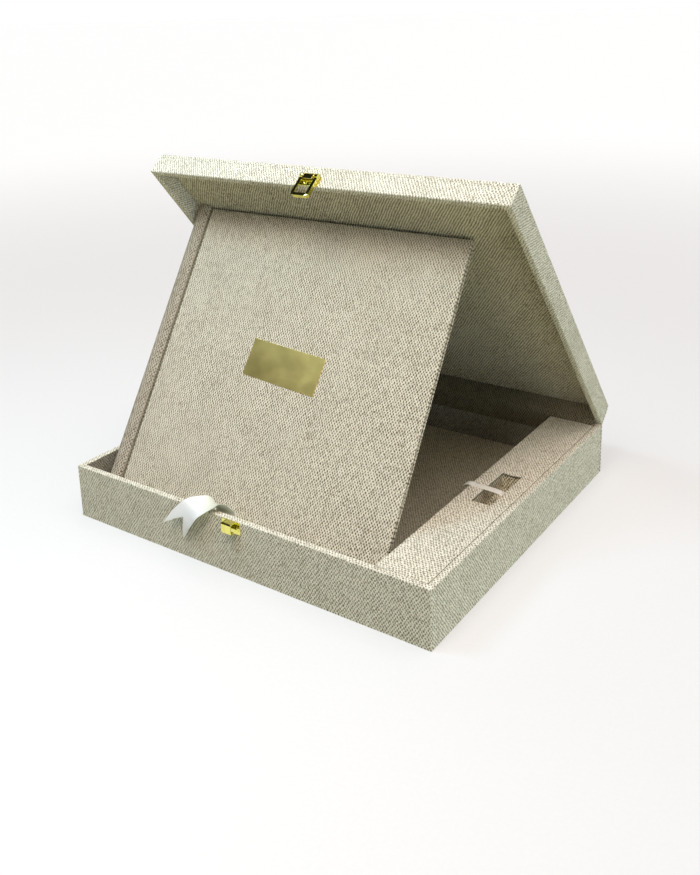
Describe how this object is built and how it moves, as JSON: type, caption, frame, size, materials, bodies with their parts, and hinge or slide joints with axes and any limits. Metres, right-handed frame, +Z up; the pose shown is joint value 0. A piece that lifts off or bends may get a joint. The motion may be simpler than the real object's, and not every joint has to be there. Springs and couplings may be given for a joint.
{
  "type": "keepsake box",
  "caption": "Linen-covered keepsake box with a hinged lid, a leaning album, a deck with a small well, a lift ribbon and a brass clasp.",
  "frame": {"origin": "middle of the tray's underside", "axes": "+X to the right along the front, +Y from the front to the hinge, +Z up"},
  "size_m": [0.33, 0.3169, 0.282],
  "materials": {
    "linen": "matte",
    "covered_board": "matte",
    "board": "matte",
    "card": "matte",
    "paper": "matte",
    "satin": "satin",
    "brass": "polished"
  },
  "bodies": {
    "tray": {"base_cloth": "linen", "base_board": "board", "tray_front_board": "board", "tray_back_board": "board", "tray_left_board": "board", "tray_right_board": "board", "tray_cloth": "linen", "bay_floor": "covered_board", "deck_divider": "covered_board", "deck_ledge": "board", "deck_panel": "covered_board", "well_tub": "card", "well_ribbon": "satin", "lift_ribbon": "satin", "catch_plate": "brass", "catch_nails": "brass", "hinge_cloth": "linen", "hinge_lining": "linen"},
    "lid": {"lid_panel_board": "board", "lid_panel_cloth": "linen", "lid_front_board": "board", "lid_back_board": "board", "lid_left_board": "board", "lid_right_board": "board", "lid_frame_cloth": "linen", "lid_lining": "covered_board", "hasp_plate": "brass", "hasp_nails": "brass", "hasp_pin": "brass"},
    "loop": {"hasp_loop": "brass"},
    "album": {"album_back_cover": "covered_board", "album_front_cover": "covered_board", "album_spine": "covered_board", "album_joint_cloth": "linen", "album_pages": "paper", "name_plate": "brass"}
  },
  "joints": [
    {"name": "lid_hinge", "type": "hinge", "parent": "tray", "child": "lid", "pos_m": [0, 0.1466, 0.0445], "axis": [-1, 0, 0], "range_deg": [0, 55], "deforming": ["hinge_cloth", "hinge_lining"]},
    {"name": "album_tilt", "type": "hinge", "parent": "tray", "child": "album", "pos_m": [0, -0.1297, 0.0077], "axis": [-1, 0, 0], "range_deg": [0, 57.9]},
    {"name": "loop_swing", "type": "hinge", "parent": "lid", "child": "loop", "pos_m": [0, -0.03838, 0.27673], "axis": [-1, 0, 0], "range_deg": [0, 150]}
  ],
  "couplings": [
    {"joint": "album_tilt", "follows": "lid_hinge", "ratio": 1.0525}
  ]
}
